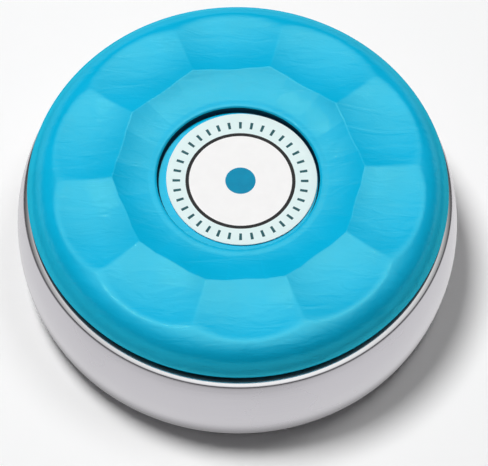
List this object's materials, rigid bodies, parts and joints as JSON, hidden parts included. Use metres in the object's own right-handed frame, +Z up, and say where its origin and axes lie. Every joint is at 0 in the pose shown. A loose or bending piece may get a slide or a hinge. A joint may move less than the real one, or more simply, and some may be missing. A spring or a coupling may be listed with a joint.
{
  "type": "tabletop shuffleboard puck",
  "caption": "Round table shuffleboard puck: a barrel-sided steel weight under a screw-on blue plastic cap with thumb scoops, and a plain white label in a round recess.",
  "frame": {"origin": "centre of the running face, on the surface the puck stands on", "axes": "+Z up along the puck's axis; the cap is on top"},
  "size_m": [0.0588, 0.0588, 0.0208],
  "materials": {
    "steel_weight": "satin chrome on turned steel, brighter on the ledge",
    "cap_screw": "plain steel",
    "cap": "glossy moulded plastic",
    "label": "white printed film"
  },
  "bodies": {
    "weight": {"steel_weight": "steel_weight"},
    "screw": {"cap_screw": "cap_screw"},
    "cap": {"cap": "cap", "label": "label"}
  },
  "joints": [
    {"name": "cap_lift", "type": "slide", "parent": "weight", "child": "screw", "axis": [0, 0, 1], "range_m": [0, 0.0077]},
    {"name": "cap_turn", "type": "hinge", "parent": "screw", "child": "cap", "pos_m": [0, 0, 0.015], "axis": [0, 0, 1], "range_deg": [0, 2160]}
  ],
  "couplings": [
    {"joint": "cap_lift", "follows": "cap_turn", "m_per_rad": 0.00020213}
  ]
}
